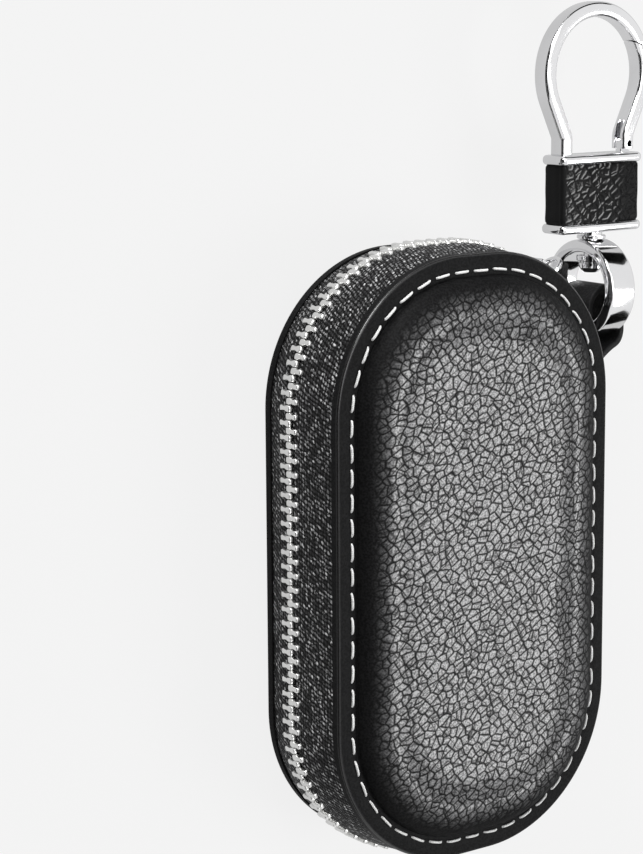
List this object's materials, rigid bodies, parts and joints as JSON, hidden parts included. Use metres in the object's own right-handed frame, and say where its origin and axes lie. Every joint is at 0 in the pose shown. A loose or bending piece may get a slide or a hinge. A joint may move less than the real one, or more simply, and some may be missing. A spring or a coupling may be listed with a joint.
{
  "type": "zipped key case with snap clip",
  "caption": "Padded leather key case that zips round its long side and hangs from a swivel ring and a sprung snap clip.",
  "frame": {"origin": "middle of the flat face of the back panel, on which the case lies", "axes": "+Z out of the front panel, +Y along the case towards the snap clip, +X towards the side that carries the leather tab"},
  "size_m": [0.0912, 0.1714, 0.0336],
  "materials": {
    "pebbled_leather": "pebbled grain, satin",
    "smooth_leather": "fine grain, satin",
    "creased_leather": "large creased grain, satin",
    "padding": "soft foam",
    "board": "grey-brown fibre board",
    "lining": "fine black cloth",
    "zip_tape": "black twill weave",
    "zip_metal": "bright satin",
    "chrome": "polished",
    "spring_steel": "plain satin steel",
    "core_alloy": "plain cast light alloy"
  },
  "bodies": {
    "back_shell": {"back_leather": "pebbled_leather", "back_padding": "padding", "back_board": "board", "back_lining": "lining", "back_tape": "zip_tape", "back_teeth": "zip_metal", "spine": "smooth_leather", "zip_end_tapes": "zip_tape", "zip_end_teeth": "zip_metal", "top_stops": "zip_metal", "bottom_stop": "zip_metal", "leather_tab": "smooth_leather", "tab_rivet": "chrome", "inner_strap": "smooth_leather", "strap_rivet": "chrome"},
    "front_shell": {"front_leather": "pebbled_leather", "front_padding": "padding", "front_board": "board", "front_lining": "lining", "front_tape": "zip_tape", "front_teeth": "zip_metal"},
    "slider": {"slider_top_plate": "chrome", "slider_under_plate": "chrome", "slider_bridge": "chrome"},
    "pull": {"pull_link": "chrome", "pull_tag": "chrome"},
    "ring": {"swivel_ring": "chrome"},
    "clip": {"swivel_post": "chrome", "swivel_collar": "chrome", "bottom_rail": "chrome", "top_rail": "chrome", "clip_core": "core_alloy", "clip_leather": "creased_leather", "snap_loop": "chrome", "gate_pin": "spring_steel", "gate_spring": "spring_steel"},
    "gate": {"snap_gate": "chrome"},
    "keys": {"key_ring": "chrome"}
  },
  "joints": [
    {"name": "lid_opens", "type": "hinge", "parent": "back_shell", "child": "front_shell", "pos_m": [0.0345, 0, 0.0264], "axis": [0, 1, 0], "range_deg": [0, 105]},
    {"name": "slider_travels", "type": "hinge", "parent": "back_shell", "child": "slider", "pos_m": [0.004, 0.0305, 0.0146], "axis": [0, 0, 1], "range_deg": [0, 38]},
    {"name": "pull_swings", "type": "hinge", "parent": "slider", "child": "pull", "pos_m": [0.0313, 0.05465, 0.0144], "axis": [-0.6626, 0.749, 0], "range_deg": [-25, 10]},
    {"name": "ring_rolls", "type": "hinge", "parent": "back_shell", "child": "ring", "pos_m": [0.0406, 0.05, 0.0168], "axis": [1, 0, 0], "range_deg": [-30, 30]},
    {"name": "clip_swivels", "type": "hinge", "parent": "ring", "child": "clip", "pos_m": [0.0406, 0.06, 0.0168], "axis": [0, 1, 0], "continuous": true},
    {"name": "gate_opens", "type": "hinge", "parent": "clip", "child": "gate", "pos_m": [0.04906, 0.0796, 0.0168], "axis": [0, 0, 1], "range_deg": [0, 22], "stiffness_Nm_per_rad": 0.02, "springref_deg": -5.73},
    {"name": "key_ring_swings", "type": "hinge", "parent": "back_shell", "child": "keys", "pos_m": [0, 0.0343, 0.01], "axis": [1, 0, 0], "range_deg": [-12, 0]}
  ]
}
